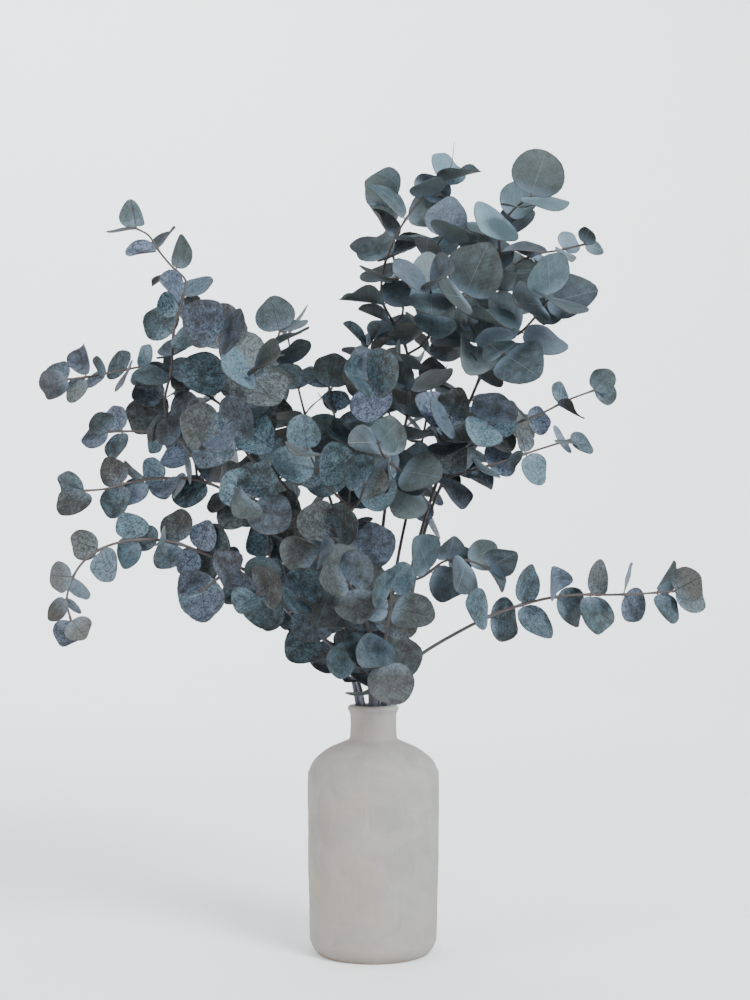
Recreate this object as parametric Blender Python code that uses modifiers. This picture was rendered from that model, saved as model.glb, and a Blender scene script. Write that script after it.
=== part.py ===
"""Cut eucalyptus branches standing in a bottle vase, in metres, +Z up, seen from -Y.

The origin is the centre of the vase's base. Each branch is one body: a main stem that
stands in the vase, its side twigs, and round leaves in pairs, each pair turned a
quarter from the pair below.
"""

import math
import random
from collections import namedtuple

import bmesh
import bpy
from mathutils import Vector
from mathutils.bvhtree import BVHTree

MM = 0.001

# Vase
VASE_HEIGHT = 204 * MM
FLOOR_HEIGHT = 6 * MM
NECK_OUTER_RADIUS = 19.7 * MM
NECK_INNER_RADIUS = 15.5 * MM
LIP_HEIGHT = VASE_HEIGHT - 3 * MM
VASE_STEPS = 24

# Where the stems stand
REST_GAP = 0.3 * MM
STEM_RADIUS = 2.2 * MM
NECK_FLAT_RADIUS = NECK_INNER_RADIUS * math.cos(math.pi / VASE_STEPS)
RING_RADIUS = NECK_FLAT_RADIUS - STEM_RADIUS - REST_GAP
RING_FOOT_RADIUS = 36 * MM
RING_TWIST = 120
CORE_RADIUS = 3.3 * MM
CORE_FOOT_RADIUS = 6.5 * MM
CORE_TWIST = 0
BELOW_NECK_SHARE = 0.84
STEM_LEAN = math.radians(14)

# Leaves
BLADE_THICKNESS = 0.8 * MM
BLADE_CLEARANCE = 1.5 * MM
GUARD_START = 3 * MM
GUARD_MARGIN = 1.4 * MM
ROOT_START = 0.3 * MM
ROOT_LENGTH = 1.8 * MM
ROOT_HALF_WIDTH = 0.8 * MM
HALF_WIDTH_SHARE = 0.52
LEAN = (52, 80)
TIP_LEAN = (30, 45)
TURN_SHARE = (0.6, 1.0)
FOLD = (0.08, 0.34)
DROOP = (-0.08, 0.16)
FLATTENING = 0.6
BARE_STEP = 45 * MM
TIP_LENGTH = 2.5 * MM
TWIG_LEAD = 6 * MM
MIN_STEP = 1 * MM
PATH_STEP = 4 * MM
TRIES = 16
FIRST_SEED = 11

KEPT_SHARE = 0.72

COLLECTION = "Eucalyptus branches in a vase"

# A shoot's route is in millimetres. Its radii, leaf gaps and leaf lengths are in
# millimetres too, at its start and at its tip, and turn is the first pair's angle.
# Facing is how much its leaves turn to the light.
Shoot = namedtuple("Shoot", "route radii first gaps sizes turn facing", defaults=[1.0])

# A branch's place is its angle round the neck, on the outer ring or in the core.
Branch = namedtuple("Branch", "name ring angle trunk twigs")

# A leaf has its root's place, three axes (along its rib, across it, out of its upper
# face), its length, how far its halves fold up and how far its tip droops.
Leaf = namedtuple("Leaf", "place rib side face length fold droop")

BRANCHES = [
    Branch(
        "branch_left_high", True, 145,
        Shoot([(-17, 12, 245), (-32, 12, 300), (-58, 8, 360), (-78, 0, 392),
               (-104, -10, 412), (-114, -18, 440), (-109, -32, 462), (-100, -55, 474),
               (-96, -82, 478)],
              (2.2, 1.1), 165, (54, 37), (44, 38), 20),
        [
            Shoot([(-140, -12, 428), (-165, -22, 436), (-174, -30, 455), (-168, -32, 485),
                   (-166, -38, 512), (-157, -50, 540), (-155, -46, 556), (-168, -36, 570),
                   (-180, -26, 585), (-190, -20, 600), (-203, -15, 608)],
                  (1.5, 1.0), 30, (39, 28), (41, 24), 50),
            Shoot([(-116, -48, 474), (-122, -78, 488), (-120, -108, 500)],
                  (1.4, 1.0), 24, (34, 25), (42, 34), 0),
            Shoot([(-112, -46, 436), (-116, -76, 428), (-122, -102, 424)],
                  (1.4, 1.0), 24, (38, 27), (42, 33), 50),
            Shoot([(-138, -8, 464), (-156, -4, 476), (-172, -10, 486), (-192, -15, 489),
                   (-212, -20, 485), (-232, -25, 480), (-256, -30, 476)],
                  (1.4, 1.0), 30, (46, 30), (37, 25), 70),
            Shoot([(-94, -22, 488), (-86, -6, 506), (-80, 8, 524)],
                  (1.3, 1.0), 24, (38, 30), (36, 31), 30),
        ],
    ),
    Branch(
        "branch_left_middle", True, 190,
        Shoot([(-20, -8, 240), (-32, -20, 285), (-58, -34, 335), (-95, -48, 366),
               (-135, -58, 388), (-168, -64, 391), (-192, -68, 388), (-214, -72, 382),
               (-232, -76, 380)],
              (2.2, 1.0), 130, (51, 31), (42, 26), 60),
        [
            Shoot([(-148, -50, 410), (-166, -46, 428), (-190, -46, 431), (-218, -50, 430)],
                  (1.3, 1.0), 24, (37, 26), (31, 22), 20),
            Shoot([(-96, -70, 372), (-96, -98, 374)],
                  (1.4, 1.0), 22, (36, 28), (37, 31), 45),
            Shoot([(-72, -50, 368), (-84, -52, 350), (-84, -58, 326)],
                  (1.3, 1.0), 22, (38, 33), (37, 30), 10),
        ],
    ),
    Branch(
        "branch_left_low", True, 235,
        Shoot([(-14, -18, 228), (-27, -26, 248), (-45, -34, 264), (-62, -42, 276),
               (-80, -50, 295), (-102, -60, 316), (-135, -68, 330), (-160, -74, 339),
               (-186, -80, 341), (-212, -85, 335), (-231, -90, 320), (-240, -94, 296),
               (-236, -96, 276)],
              (2.2, 1.0), 78, (47, 28), (41, 23), 35),
        [
            Shoot([(-124, -76, 310), (-134, -104, 300)],
                  (1.3, 1.0), 20, (36, 27), (37, 32), 80),
            Shoot([(-92, -78, 300), (-90, -106, 298)],
                  (1.3, 1.0), 18, (32, 26), (36, 31), 30),
            Shoot([(-62, -66, 288), (-58, -96, 296)],
                  (1.3, 1.0), 22, (36, 26), (40, 32), 60),
        ],
    ),
    Branch(
        "branch_back_left", True, 100,
        Shoot([(-9, 30, 265), (-26, 46, 340), (-46, 58, 405), (-62, 66, 460),
               (-72, 72, 500), (-78, 74, 532)],
              (2.2, 1.0), 170, (60, 46), (43, 33), 10),
        [
            Shoot([(-62, 84, 430), (-88, 104, 462), (-104, 116, 488)],
                  (1.4, 1.0), 32, (50, 37), (39, 31), 60),
            Shoot([(-60, 74, 395), (-92, 86, 400), (-126, 92, 410)],
                  (1.4, 1.0), 32, (50, 37), (39, 31), 20),
        ],
    ),
    Branch(
        "branch_back_right", True, 55,
        Shoot([(12, 30, 262), (22, 52, 330), (36, 72, 395), (48, 88, 455), (56, 98, 505),
               (60, 102, 545)],
              (2.2, 1.0), 180, (60, 46), (43, 33), 40),
        [
            Shoot([(60, 84, 420), (92, 96, 440), (122, 102, 450)],
                  (1.4, 1.0), 32, (50, 37), (39, 31), 80),
            Shoot([(30, 98, 440), (12, 118, 470), (4, 128, 500)],
                  (1.4, 1.0), 32, (50, 37), (39, 31), 0),
        ],
    ),
    Branch(
        "branch_centre", False, 270,
        Shoot([(-5, -12, 250), (-13, -24, 310), (-20, -32, 360), (-18, -34, 400),
               (-11, -36, 435), (-5, -50, 462), (-5, -82, 468)],
              (2.2, 1.1), 130, (52, 35), (42, 35), 0),
        [
            Shoot([(-24, -46, 340), (-32, -76, 350)],
                  (1.3, 1.0), 24, (37, 27), (39, 32), 40),
            Shoot([(-12, -58, 372), (-6, -86, 386)],
                  (1.3, 1.0), 26, (37, 27), (39, 32), 80),
            Shoot([(-30, -55, 378), (-42, -68, 392), (-52, -96, 412)],
                  (1.3, 1.0), 24, (36, 26), (40, 30), 70),
            Shoot([(-24, -22, 425), (-33, -10, 448), (-38, -6, 474)],
                  (1.3, 1.0), 26, (38, 32), (36, 29), 15),
            Shoot([(-2, -22, 464), (0, -12, 486), (-6, -10, 508)],
                  (1.3, 1.0), 28, (36, 27), (35, 28), 50),
        ],
    ),
    Branch(
        "branch_centre_high", False, 150,
        Shoot([(2, 9, 258), (6, 17, 320), (10, 22, 370), (20, 22, 415), (29, 20, 450),
               (31, 16, 480), (28, 14, 510), (15, 10, 535), (7, 5, 552), (9, 0, 577),
               (18, -5, 600), (30, -10, 620), (45, -12, 638), (60, -15, 648)],
              (2.2, 1.0), 190, (52, 36), (41, 43), 25),
        [
            Shoot([(44, 0, 512), (50, -30, 526), (47, -62, 540), (44, -86, 546)],
                  (1.4, 1.0), 30, (38, 27), (41, 35), 10),
            Shoot([(26, -14, 566), (46, -24, 580), (58, -34, 596)],
                  (1.3, 1.0), 28, (40, 33), (43, 39), 30),
            Shoot([(26, 28, 545), (20, 32, 580), (14, 28, 612), (10, 22, 636)],
                  (1.3, 1.0), 30, (47, 40), (37, 39), 60),
        ],
    ),
    Branch(
        "branch_right_high", False, 30,
        Shoot([(16, 5, 245), (27, 7, 295), (38, 10, 340), (50, 14, 380), (63, 18, 415),
               (84, 18, 465), (99, 13, 500), (109, 8, 525), (111, 0, 555), (108, -14, 580),
               (106, -32, 600), (114, -54, 612), (128, -80, 618)],
              (2.2, 1.1), 215, (53, 34), (46, 43), 70),
        [
            Shoot([(122, -2, 518), (134, -12, 528), (142, -24, 538), (146, -52, 542)],
                  (1.4, 1.0), 24, (38, 27), (37, 42), 20),
            Shoot([(124, 6, 582), (142, 6, 590), (160, 0, 592), (182, -6, 596)],
                  (1.2, 1.0), 36, (36, 21), (27, 17), 50),
            Shoot([(92, -8, 506), (80, -34, 524), (74, -66, 540)],
                  (1.4, 1.0), 26, (42, 33), (46, 42), 40),
            Shoot([(106, -16, 508), (108, -46, 494)],
                  (1.4, 1.0), 24, (36, 28), (44, 39), 75),
            Shoot([(36, -14, 386), (22, -48, 398), (8, -82, 408), (4, -106, 416)],
                  (1.4, 1.0), 36, (38, 27), (40, 30), 25),
            Shoot([(42, -10, 312), (60, -20, 325), (80, -24, 325), (96, -30, 318)],
                  (1.4, 1.0), 30, (38, 27), (37, 30), 30),
        ],
    ),
    Branch(
        "branch_right_middle", True, 10,
        Shoot([(22, 12, 245), (33, 26, 295), (43, 30, 345), (56, 26, 385), (72, 12, 412),
               (88, 8, 427), (108, 4, 436), (126, 0, 444), (146, -5, 452), (164, -9, 461),
               (188, -10, 470)],
              (2.2, 1.0), 165, (47, 28), (40, 24), 50),
        [
            Shoot([(62, -8, 396), (82, -26, 400), (110, -34, 408), (130, -30, 415),
                   (148, -26, 421), (166, -20, 427)],
                  (1.3, 1.0), 30, (41, 27), (33, 23), 0),
            Shoot([(66, -20, 428), (62, -58, 442)],
                  (1.4, 1.0), 28, (36, 27), (38, 32), 45),
            Shoot([(98, -26, 432), (94, -64, 436)],
                  (1.3, 1.0), 28, (40, 30), (38, 32), 70),
        ],
    ),
    Branch(
        "branch_right_low", True, 325,
        Shoot([(14, -10, 218), (25, -15, 235), (45, -22, 251), (70, -30, 266), (95, -36, 279),
               (116, -41, 287), (142, -45, 294), (168, -49, 297), (194, -51, 297),
               (220, -52, 298), (246, -52, 300)],
              (2.1, 1.0), 124, (35, 26), (40, 31), 65, 0.7),
        [],
    ),
    Branch(
        "branch_front_low", True, 280,
        Shoot([(3, -26, 230), (-2, -52, 262), (-12, -80, 292), (-20, -108, 308)],
              (2.1, 1.0), 15, (38, 28), (42, 32), 90),
        [
            Shoot([(8, -62, 258), (13, -90, 282), (14, -112, 302)],
                  (1.3, 1.0), 26, (36, 27), (37, 30), 70),
            Shoot([(-5, -36, 232), (-14, -58, 240)],
                  (1.3, 1.0), 14, (30, 26), (35, 31), 30),
            Shoot([(10, -48, 243), (16, -76, 250)],
                  (1.3, 1.0), 20, (32, 26), (42, 35), 10),
            Shoot([(-30, -76, 300), (-44, -102, 326)],
                  (1.3, 1.0), 26, (38, 29), (38, 33), 50),
        ],
    ),
]


def smooth(route, step):
    """Points of a smooth curve through a route's points, about a step apart."""
    ends = [2 * route[0] - route[1], *route, 2 * route[-1] - route[-2]]
    points = []
    for a, b, c, d in zip(ends, ends[1:], ends[2:], ends[3:]):
        count = max(2, round((c - b).length / step))
        for k in range(count):
            t = k / count
            points.append(0.5 * (2 * b + (c - a) * t
                                 + (2 * a - 5 * b + 4 * c - d) * t * t
                                 + (3 * b - a - 3 * c + d) * t * t * t))
    return [*points, route[-1]]


class Path:
    """A smooth curve through a route's points, read by the distance along it."""

    def __init__(self, route):
        self.points = smooth(route, PATH_STEP)
        self.lengths = [0.0]
        for here, there in zip(self.points, self.points[1:]):
            self.lengths.append(self.lengths[-1] + (there - here).length)
        self.length = self.lengths[-1]

    def at(self, distance):
        distance = min(max(distance, 0.0), self.length)
        k = 1
        while k < len(self.lengths) - 1 and self.lengths[k] < distance:
            k += 1
        before, after = self.points[k - 1], self.points[k]
        share = (distance - self.lengths[k - 1]) / (self.lengths[k] - self.lengths[k - 1])
        return before.lerp(after, share), (after - before).normalized()

    def nearest(self, place):
        gaps = [(point - place).length for point in self.points]
        return self.lengths[gaps.index(min(gaps))]


def material(name, colour, roughness):
    made = bpy.data.materials.new(name)
    made.use_nodes = True
    shader = made.node_tree.nodes["Principled BSDF"]
    shader.inputs["Base Color"].default_value = (*colour, 1)
    shader.inputs["Roughness"].default_value = roughness
    shader.inputs["Metallic"].default_value = 0
    return made


def add_object(name, mesh, collection):
    made = bpy.data.objects.new(name, mesh)
    collection.objects.link(made)
    return made


def vase_profile():
    """Inner floor, up the inner wall, over the rim and down the outside to the base."""
    inner = [(0, 6), (40, 6), (48, 10), (51, 20), (51, 138), (49.5, 149), (44.5, 156.5),
             (35, 163.5), (25, 168), (17.5, 171.5)]
    outer = [(22, 174.8), (29.5, 171.5), (39, 167), (49, 159), (54, 150), (55.2, 140),
             (54.6, 80), (53.2, 20), (52, 8), (48, 2), (42, 0), (0, 0)]
    inner_neck, outer_neck, top = NECK_INNER_RADIUS, NECK_OUTER_RADIUS, VASE_HEIGHT
    neck = [(inner_neck, 175 * MM), (inner_neck, LIP_HEIGHT),
            (inner_neck + 1.5 * MM, top - 0.4 * MM), (outer_neck, top),
            (outer_neck + 1.8 * MM, top - 1.6 * MM), (outer_neck + 1.6 * MM, top - 4.4 * MM),
            (outer_neck, top - 7.5 * MM), (outer_neck, 178 * MM)]
    return ([(r * MM, z * MM) for r, z in inner] + neck
            + [(r * MM, z * MM) for r, z in outer])


def build_vase(collection):
    mesh = bpy.data.meshes.new("vase")
    profile = vase_profile()
    edges = [(k, k + 1) for k in range(len(profile) - 1)]
    mesh.from_pydata([(r, 0, z) for r, z in profile], edges, [])
    vase = add_object("vase", mesh, collection)
    screw = vase.modifiers.new("Turned", "SCREW")
    screw.steps = VASE_STEPS
    screw.render_steps = VASE_STEPS
    screw.use_merge_vertices = True
    screw.merge_threshold = 0.05 * MM
    mesh.materials.append(material("Off-white ceramic", (0.62, 0.60, 0.57), 0.85))
    return vase


def run_in_vase(branch):
    """The straight run in the vase: the foot on its floor, below the neck, at the lip."""
    lip, foot, twist = RING_RADIUS, RING_FOOT_RADIUS, RING_TWIST
    if not branch.ring:
        lip, foot, twist = CORE_RADIUS, CORE_FOOT_RADIUS, CORE_TWIST
    at_lip = math.radians(branch.angle)
    at_foot = math.radians(branch.angle + twist)
    foot_height = FLOOR_HEIGHT + REST_GAP + STEM_RADIUS * math.sin(STEM_LEAN)
    start = Vector((foot * math.cos(at_foot), foot * math.sin(at_foot), foot_height))
    end = Vector((lip * math.cos(at_lip), lip * math.sin(at_lip), LIP_HEIGHT))
    return [start, start.lerp(end, BELOW_NECK_SHARE), end]


def path_of(shoot, starts):
    return Path(starts + [Vector(point) * MM for point in shoot.route])


def joint_of(twig, stem_path):
    """Where a twig leaves its stem: a little before the place nearest to its route."""
    return max(0.0, stem_path.nearest(Vector(twig.route[0]) * MM) - TWIG_LEAD)


def leaf_nodes(shoot, path, bare):
    """Distances along the shoot where a pair of leaves grows, the last one at its tip."""
    distance = bare + shoot.first * MM
    nodes = []
    while distance < path.length - 0.4 * shoot.gaps[1] * MM:
        nodes.append(distance)
        share = distance / path.length
        distance += (shoot.gaps[0] + (shoot.gaps[1] - shoot.gaps[0]) * share) * MM
    return [*nodes, path.length - TIP_LENGTH]


def tube(name, path, radii, stops, full_until, roundness, collection):
    """A round tube that bends only at its stops, and tapers past a given distance."""
    curve = bpy.data.curves.new(name, "CURVE")
    curve.dimensions = "3D"
    curve.bevel_depth = MM
    curve.bevel_resolution = roundness
    curve.use_fill_caps = True
    spline = curve.splines.new("POLY")
    spline.points.add(len(stops) - 1)
    for point, stop in zip(spline.points, stops):
        point.co = (*path.at(stop)[0], 1)
        share = max(0.0, stop - full_until) / (path.length - full_until)
        point.radius = radii[0] + (radii[1] - radii[0]) * share
    source = add_object(name, curve, collection)
    depsgraph = bpy.context.evaluated_depsgraph_get()
    mesh = bpy.data.meshes.new_from_object(source.evaluated_get(depsgraph))
    bpy.data.objects.remove(source)
    shape = bmesh.new()
    shape.from_mesh(mesh)
    bmesh.ops.remove_doubles(shape, verts=shape.verts, dist=0.01 * MM)
    bmesh.ops.triangulate(shape, faces=shape.faces)
    shape.to_mesh(mesh)
    shape.free()
    return add_object(name, mesh, collection)


def stops_along(path, nodes, joints):
    """Every leaf node and side joint, with plain stops in the long bare runs between."""
    stops = sorted({0.0, path.length, *nodes, *joints})
    filled = [stops[0]]
    for stop in stops[1:]:
        gap = stop - filled[-1]
        if gap < MIN_STEP and stop < path.length:
            continue
        parts = max(1, round(gap / BARE_STEP))
        first = filled[-1]
        filled += [first + gap * k / parts for k in range(1, parts + 1)]
    return filled


def light_on(place):
    """The way a leaf at a place turns its face: outward, upward and to the front."""
    out = Vector((0.3 * place.x, 1.4 * place.y, 0.4 * (place.z - 0.38)))
    return (out.normalized() + Vector((0.0, -0.85, 0.3))).normalized()


def leaf_frame(tangent, azimuth, lean, turn_share, roll, place):
    """The leaf's own axes: along its rib, across it, and out of its upper face."""
    across = Vector((0, 1, 0)).cross(tangent)
    if across.length < 0.35:
        across = Vector((1, 0, 0)).cross(tangent)
    across.normalize()
    up = tangent.cross(across)
    away = across * math.cos(azimuth) + up * math.sin(azimuth)
    light = light_on(place)
    away = (away - light * away.dot(light) * FLATTENING).normalized()
    rib = (tangent * math.cos(lean) + away * math.sin(lean)).normalized()
    face = tangent * math.sin(lean) - away * math.cos(lean)
    light = light - rib * light.dot(rib)
    if light.dot(face) < 0:
        light = -light
    face = (face * (1 - turn_share) + light.normalized() * turn_share).normalized()
    side = face.cross(rib)
    face = face * math.cos(roll) + side * math.sin(roll)
    side = face.cross(rib).normalized()
    return rib, side, rib.cross(side)


def leaf_outline(leaf):
    """Root, neck, edge and tip of a round leaf: x along its rib, y across, z up."""
    length = leaf.length
    half = HALF_WIDTH_SHARE * length
    edge = [(ROOT_LENGTH, ROOT_HALF_WIDTH), (0.22 * length, 0.86 * half),
            (0.70 * length, 0.90 * half)]
    flat = [(ROOT_START, 0), (length, 0)] + edge + [(x, -y) for x, y in edge]
    return [Vector((x, y, 0.5 * leaf.fold * abs(y) - leaf.droop * x * x / length))
            for x, y in flat]


LEAF_FACES = [(0, 5, 2), (5, 6, 2), (2, 6, 3), (6, 7, 3), (3, 7, 4), (7, 1, 4)]
LEAF_EDGE = [0, 5, 6, 7, 1, 4, 3, 2]


def leaf_points(leaf, start=0.0, lift=0.0, grow=0.0):
    """The leaf's points in space, moved along its rib and face and grown past its edge."""
    middle = Vector((0.5 * leaf.length, 0, 0))
    points = []
    for flat in leaf_outline(leaf):
        flat = flat + (flat - middle).normalized() * grow
        points.append(leaf.place + leaf.rib * (flat.x + start) + leaf.side * flat.y
                      + leaf.face * (flat.z + lift))
    return points


def leaf_guard(leaf):
    """A thicker and slightly larger leaf, which marks the room that a leaf needs."""
    above = leaf_points(leaf, GUARD_START, BLADE_CLEARANCE, GUARD_MARGIN)
    below = leaf_points(leaf, GUARD_START, -BLADE_CLEARANCE, GUARD_MARGIN)
    count = len(above)
    faces = list(LEAF_FACES)
    faces += [tuple(count + k for k in reversed(face)) for face in LEAF_FACES]
    for a, b in zip(LEAF_EDGE, LEAF_EDGE[1:] + LEAF_EDGE[:1]):
        faces += [(a, count + a, count + b), (a, count + b, b)]
    return BVHTree.FromPolygons(above + below, faces, all_triangles=True)


def leaf_centre(leaf):
    return leaf.place + leaf.rib * 0.5 * leaf.length


def leaf_reach(leaf):
    return 0.62 * leaf.length


class Room:
    """What is already in place, so that a new leaf can be laid clear of it."""

    def __init__(self):
        self.wood = {}
        self.leaves = []

    def add_wood(self, key, made):
        mesh = made.data
        points = [made.matrix_world @ vertex.co for vertex in mesh.vertices]
        faces = [tuple(face.vertices) for face in mesh.polygons]
        self.wood[key] = BVHTree.FromPolygons(points, faces)

    def is_clear(self, key, leaf):
        centre, reach, guard = leaf_centre(leaf), leaf_reach(leaf), leaf_guard(leaf)
        for other, tree in self.wood.items():
            if other == key:
                continue
            if tree.find_nearest(centre, reach)[0] is None:
                continue
            if guard.overlap(tree):
                return False
        for place, size, tree in self.leaves:
            if (place - centre).length < reach + size and guard.overlap(tree):
                return False
        return True

    def add_leaf(self, leaf):
        tree = BVHTree.FromPolygons(leaf_points(leaf), LEAF_FACES, all_triangles=True)
        self.leaves.append((leaf_centre(leaf), leaf_reach(leaf), tree))


def grow_leaf(rng, room, key, place, tangent, azimuth, length, facing, at_tip):
    """One leaf at a node, moved, rolled or made smaller until it is clear of the rest."""
    lean = math.radians(rng.uniform(*(TIP_LEAN if at_tip else LEAN)))
    turn_share = rng.uniform(*TURN_SHARE) * facing
    fold = rng.uniform(*FOLD)
    droop = rng.uniform(*DROOP)
    for attempt in range(TRIES):
        loose = attempt / TRIES
        size = length * (1 - 0.4 * max(0.0, loose - 0.3))
        rib, side, face = leaf_frame(
            tangent,
            azimuth + rng.uniform(-0.9, 0.9) * loose,
            lean + rng.uniform(-0.5, 0.4) * loose,
            turn_share * (1 - 0.6 * loose),
            rng.uniform(-0.3, 0.3) + rng.uniform(-0.9, 0.9) * loose,
            place)
        leaf = Leaf(place, rib, side, face, size, fold, droop)
        if room.is_clear(key, leaf):
            room.add_leaf(leaf)
            return leaf
    return None


def grow_shoot_leaves(rng, room, key, shoot, path, nodes):
    leaves = []
    for count, node in enumerate(nodes):
        share = node / path.length
        length = (shoot.sizes[0] + (shoot.sizes[1] - shoot.sizes[0]) * share) * MM
        place, tangent = path.at(node)
        turn = math.radians(shoot.turn + 90 * count + rng.uniform(-14, 14))
        at_tip = count == len(nodes) - 1
        for half in (0, math.pi):
            size = length * rng.uniform(0.86, 1.1)
            leaves.append(grow_leaf(rng, room, key, place, tangent, turn + half, size,
                                    shoot.facing, at_tip))
    return [leaf for leaf in leaves if leaf]


def leaf_object(name, leaf, collection):
    mesh = bpy.data.meshes.new(name)
    mesh.from_pydata(leaf_points(leaf), [], LEAF_FACES)
    made = add_object(name, mesh, collection)
    solidify = made.modifiers.new("Blade", "SOLIDIFY")
    solidify.thickness = BLADE_THICKNESS
    solidify.offset = 0
    made.modifiers.new("Split", "TRIANGULATE")


def fuse(body, collection):
    """Joins the twigs and leaves of a collection to the main stem, then removes them."""
    union = body.modifiers.new("Grown together", "BOOLEAN")
    union.operation = "UNION"
    union.solver = "MANIFOLD"
    union.operand_type = "COLLECTION"
    union.collection = collection
    depsgraph = bpy.context.evaluated_depsgraph_get()
    mesh = bpy.data.meshes.new_from_object(body.evaluated_get(depsgraph))
    body.modifiers.remove(union)
    body.data = mesh
    thin = body.modifiers.new("Plainer roots", "DECIMATE")
    thin.ratio = KEPT_SHARE
    thin.use_collapse_triangulate = True
    for made in list(collection.objects):
        bpy.data.objects.remove(made)
    bpy.data.collections.remove(collection)


def build_branches(collection, vase):
    room = Room()
    bpy.context.view_layer.update()
    grown = []
    for branch in BRANCHES:
        repeats = bpy.data.collections.new(branch.name + " repeats")
        bpy.context.scene.collection.children.link(repeats)
        in_vase = run_in_vase(branch)
        trunk_path = path_of(branch.trunk, in_vase)
        bare = trunk_path.nearest(in_vase[-1])
        shoots = [(branch.trunk, trunk_path, leaf_nodes(branch.trunk, trunk_path, bare))]
        joints = [trunk_path.nearest(in_vase[1]), bare]
        for twig in branch.twigs:
            joint = joint_of(twig, trunk_path)
            joints.append(joint)
            path = path_of(twig, [trunk_path.at(joint)[0]])
            shoots.append((twig, path, leaf_nodes(twig, path, 0.0)))
        for count, (shoot, path, nodes) in enumerate(shoots):
            stops = stops_along(path, nodes, joints if count == 0 else [])
            owner = collection if count == 0 else repeats
            name = branch.name if count == 0 else f"{branch.name} twig {count}"
            full_until, roundness = (bare, 1) if count == 0 else (0.0, 0)
            wood = tube(name, path, shoot.radii, stops, full_until, roundness, owner)
            if count == 0:
                trunk = wood
            room.add_wood((branch.name, count), wood)
        grown.append((branch, trunk, repeats, shoots))
    depsgraph = bpy.context.evaluated_depsgraph_get()
    room.wood["vase"] = BVHTree.FromObject(vase, depsgraph)
    leaf_material = material("Grey-blue eucalyptus", (0.10, 0.15, 0.17), 0.6)
    for order, (branch, trunk, repeats, shoots) in enumerate(grown):
        rng = random.Random(FIRST_SEED + order)
        for count, (shoot, path, nodes) in enumerate(shoots):
            for leaf in grow_shoot_leaves(rng, room, (branch.name, count), shoot, path, nodes):
                leaf_object(branch.name + " leaf", leaf, repeats)
        fuse(trunk, repeats)
        trunk.data.materials.clear()
        trunk.data.materials.append(leaf_material)


def main():
    for made in list(bpy.data.objects):
        bpy.data.objects.remove(made)
    collection = bpy.data.collections.new(COLLECTION)
    bpy.context.scene.collection.children.link(collection)
    vase = build_vase(collection)
    build_branches(collection, vase)


main()
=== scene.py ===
import math
import random
from collections import namedtuple

import bmesh
import bpy
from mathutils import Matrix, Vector, noise
from mathutils.bvhtree import BVHTree


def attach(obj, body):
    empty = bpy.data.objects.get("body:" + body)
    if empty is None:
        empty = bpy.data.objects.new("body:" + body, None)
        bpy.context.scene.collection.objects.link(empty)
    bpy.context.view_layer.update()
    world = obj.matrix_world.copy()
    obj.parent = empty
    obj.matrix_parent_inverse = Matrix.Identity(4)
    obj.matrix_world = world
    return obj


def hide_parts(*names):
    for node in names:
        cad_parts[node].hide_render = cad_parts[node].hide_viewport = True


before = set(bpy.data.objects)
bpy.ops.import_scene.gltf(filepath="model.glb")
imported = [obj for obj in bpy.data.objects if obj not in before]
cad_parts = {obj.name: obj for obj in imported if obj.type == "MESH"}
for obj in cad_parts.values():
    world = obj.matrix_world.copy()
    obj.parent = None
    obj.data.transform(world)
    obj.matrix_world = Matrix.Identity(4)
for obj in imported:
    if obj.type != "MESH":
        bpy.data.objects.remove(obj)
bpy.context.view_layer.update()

scene = bpy.context.scene


# The view and the light.
# A pale floor that sweeps up into a pale wall all round, a broad soft light from the
# right, weak ones from the left and low down, and one on the wall.
MM = 0.001
EYE = (0.0014, -1.25, 0.305)
EYE_TILT = math.radians(3.3)
LENS = 53
SENSOR_WIDTH = 36
FLOOR_REACH = 3.4
SWEEP_RADIUS = 1.6
SWEEP_STEPS = 12
WALL_TOP = 5.0
STUDIO_SIDES = 96
STUDIO_COLOUR = (0.92, 0.93, 0.935)
ROOM_COLOUR = (0.86, 0.90, 0.94)
ROOM_STRENGTH = 1.1
SEAM_GAP = 0.05 * MM

# Each light's name, place, aim, size, power and colour.
LIGHTS = [
    ("window light", (1.9, -2.3, 2.1), (0, 0, 0.38), 1.5, 205, (0.94, 0.98, 1.0)),
    ("fill light", (-2.5, -1.4, 1.3), (0, 0, 0.30), 1.6, 26, (1.0, 0.95, 0.90)),
    ("low glow", (-1.1, -0.7, 0.12), (0, 0, 0.06), 0.5, 5, (1.0, 0.66, 0.40)),
    ("wall light", (-0.8, 1.7, 3.6), (-0.9, 5.0, 1.6), 2.4, 200, (0.97, 0.99, 1.0)),
]


def add_object(name, data):
    made = bpy.data.objects.new(name, data)
    scene.collection.objects.link(made)
    return made


def plain_mesh(source, name):
    """The evaluated object as a plain mesh of its own. The source goes."""
    depsgraph = bpy.context.evaluated_depsgraph_get()
    mesh = bpy.data.meshes.new_from_object(source.evaluated_get(depsgraph))
    bpy.data.objects.remove(source)
    mesh.name = name
    return add_object(name, mesh)


def turned(name, profile, sides):
    """A profile of (radius, height) pairs, turned about the vertical axis."""
    mesh = bpy.data.meshes.new(name)
    edges = [(k, k + 1) for k in range(len(profile) - 1)]
    mesh.from_pydata([(radius, 0, height) for radius, height in profile], edges, [])
    made = add_object(name, mesh)
    screw = made.modifiers.new("Turned", "SCREW")
    screw.steps = sides
    screw.render_steps = sides
    screw.use_merge_vertices = True
    screw.merge_threshold = SEAM_GAP
    return plain_mesh(made, name)


def new_finish(name, roughness):
    """A material and its shader, whose even values are set on the shader's sockets."""
    made = bpy.data.materials.new(name)
    made.use_nodes = True
    shader = made.node_tree.nodes["Principled BSDF"]
    shader.inputs["Roughness"].default_value = roughness
    shader.inputs["Metallic"].default_value = 0
    return made, shader


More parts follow.
